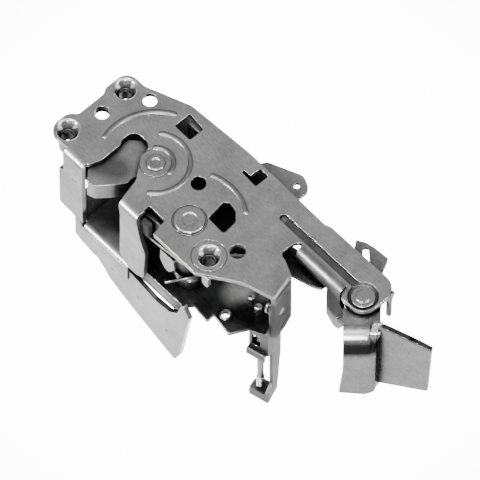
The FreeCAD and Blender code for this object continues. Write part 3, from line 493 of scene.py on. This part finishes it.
def sleeve(name, centre, inner, outer, top, bottom, material):
    """Round collar behind the face plate."""
    rows = [[around(centre, radius, 360 * k / SLEEVE_SIDES, z) for k in range(SLEEVE_SIDES)]
            for radius, z in ((inner, top), (outer, top), (outer, bottom), (inner, bottom))]
    shade(add_piece(name, skin(name, rows, closed=True), "frame", material))


for label, centre in SCREW_PLACES.items():
    sleeve("boss_" + label, centre, THREAD_BORE, THREAD_BORE + BOSS_WALL, THREAD_END - BOSS_GAP,
           BOSS_END, SHEET_STEEL)
# Hole collars in near-black steel: painted shade inside the holes
for label, (centre, radius) in COLLAR_HOLES.items():
    sleeve("collar_" + label, centre, radius, radius + COLLAR_WALL, -PLATE, -PLATE - COLLAR_DEPTH,
           COLLAR_STEEL)


def bend_side(radius):
    """Quarter round and the straight stretch below it, as (place across the lever, height)."""
    turns = [math.radians(90 * i / BEND_STEPS) for i in range(BEND_STEPS + 1)]
    side = [(BEND_Y - radius * math.sin(turn), BEND_Z + radius * math.cos(turn)) for turn in turns]
    return side + [(side[-1][0], BEND_BOTTOM)]


def lever_bend():
    """Soft bend of the handle lever's front sheet, standing a little proud of the flat below it."""
    profile = bend_side(BEND_RADIUS) + bend_side(BEND_RADIUS - BEND_SHEET)[::-1]
    turn = math.radians(LEVER_TURN)
    rows = []
    for x, back in BEND_COLUMNS:
        rows.append([Vector((ARM_PIVOT[0] + x * math.cos(turn) - (y + back) * math.sin(turn),
                             ARM_PIVOT[1] + x * math.sin(turn) + (y + back) * math.cos(turn), z))
                     for y, z in profile])
    shade(add_piece("lever_bend", skin("lever_bend", rows), "handle", LEVER_STEEL))


lever_bend()


def wire_rows(points, radius):
    """Circles round the points of a wire, without a twist from one to the next."""
    rows = []
    across = None
    for i, point in enumerate(points):
        ahead = points[min(i + 1, len(points) - 1)] - points[max(i - 1, 0)]
        tangent = ahead.normalized()
        if across is None:
            across = tangent.orthogonal().normalized()
        across = (across - tangent * across.dot(tangent)).normalized()
        other = tangent.cross(across)
        turns = [2 * math.pi * k / WIRE_SIDES for k in range(WIRE_SIDES)]
        rows.append([point + (across * math.cos(turn) + other * math.sin(turn)) * radius
                     for turn in turns])
    return rows


def coil_spring(name, centre, radius, wire, turns, top, legs, replaced):
    """Wound wire of a torsion spring with two straight legs, in place of its plain sleeve.

    wire is its radius, and each leg is given by the direction it runs in and its length.
    """
    start, stop = legs[0][0] - 90, legs[1][0] - 90
    sweep = turns * 360 + (stop - start) % 360 - 360
    fall = SPRING_PITCH * wire * turns - 2 * wire
    steps = int(sweep / WIRE_STEP)
    points = [around(centre, radius, start + sweep * i / steps, -top - wire - fall * i / steps)
              for i in range(steps + 1)]
    first, second = (around((0, 0), length, angle, 0) for angle, length in legs)
    points = [points[0] - first] + points + [points[-1] + second]
    mesh = skin(name, wire_rows(points, wire))
    for polygon in mesh.polygons:
        polygon.use_smooth = len(polygon.vertices) == 4
    piece = add_piece(name, mesh, "frame", SPRING_STEEL)
    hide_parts(replaced)


coil_spring("fork_spring_wire", FORK_PIVOT, 6.6, 0.7, 4, EAR_UNDER + 2, [(20, 12), (200, 12)],
            "fork_spring")
coil_spring("pawl_spring_wire", PAWL_PIVOT, 7.6, 0.8, 4, 40, [(60, 14), (230, 12)], "pawl_spring")
coil_spring("arm_spring_wire", ARM_PIVOT, 5.4, 0.6, 3, ARM_SPRING_TOP, [(150, 10), (265, 12)],
            "arm_spring")


# Floor and light

def make_floor():
    mesh = bpy.data.meshes.new("floor")
    half = FLOOR_HALF
    z = cad_low.z - FLOOR_DROP
    mesh.from_pydata([(-half, -half, z), (half, -half, z), (half, half, z), (-half, half, z)], [],
                     [(0, 1, 2, 3)])
    floor = put("floor", mesh)
    material, _, shader = new_material("floor_paper")
    shader.inputs["Base Color"].default_value = (0.93, 0.93, 0.93, 1)
    shader.inputs["Roughness"].default_value = 0.9
    mesh.materials.append(material)


def lamp(name, size, power, spread=180):
    """Round lamp, with its size in metres, power in watts and spread in degrees."""
    data = bpy.data.lights.new(name, "AREA")
    data.shape = "DISK"
    data.size = size
    data.energy = power
    data.spread = math.radians(spread)
    return put(name, data)


def area_light(name, azimuth, elevation, distance, size, power, spread=180):
    aim(lamp(name, size, power, spread), azimuth, elevation, distance)


def table_light(name, azimuth, size, power):
    """Light close above the floor, facing down, that whitens the paper on one side of the part."""
    floor_z = cad_low.z - FLOOR_DROP
    aside = direction(azimuth, VIEW_ELEVATION) * (-floor_z / math.sin(math.radians(VIEW_ELEVATION)))
    lamp(name, size, power).location = (VIEW_CENTRE.x + aside.x, VIEW_CENTRE.y + aside.y,
                                        floor_z + TABLE_RISE)


def make_world():
    """Even soft sky that is darker just above the floor."""
    world = bpy.data.worlds.new("studio")
    bpy.context.scene.world = world
    world.use_nodes = True
    tree = world.node_tree
    where = add_node(tree, "TexCoord", {})
    parts = add_node(tree, "SeparateXYZ", {"Vector": where.outputs["Generated"]})
    sky = ramp(tree, parts.outputs["Z"], [(0.05, LOW_SKY), (0.32, SKY), (0.85, SKY)])
    tree.links.new(sky, tree.nodes["Background"].inputs["Color"])


def make_light():
    make_world()
    area_light("front_left", 337, 20, 1.3, 0.30, 0.9, spread=30)
    area_light("front", 47, 27, 1.4, 0.30, 0.7, spread=30)
    area_light("right", 111, 22, 1.3, 0.30, 0.5, spread=30)
    area_light("top", 30, 72, 1.6, 0.25, 0.9, spread=60)
    area_light("key", 10, 50, 2.2, 0.9, 26)
    area_light("fill", 92, 50, 2.2, 0.9, 14)
    table_light("table_back", VIEW_AZIMUTH + 180, 0.42, 7.0)
    table_light("table_near", -VIEW_AZIMUTH, 0.34, 0.2)


make_floor()
make_light()
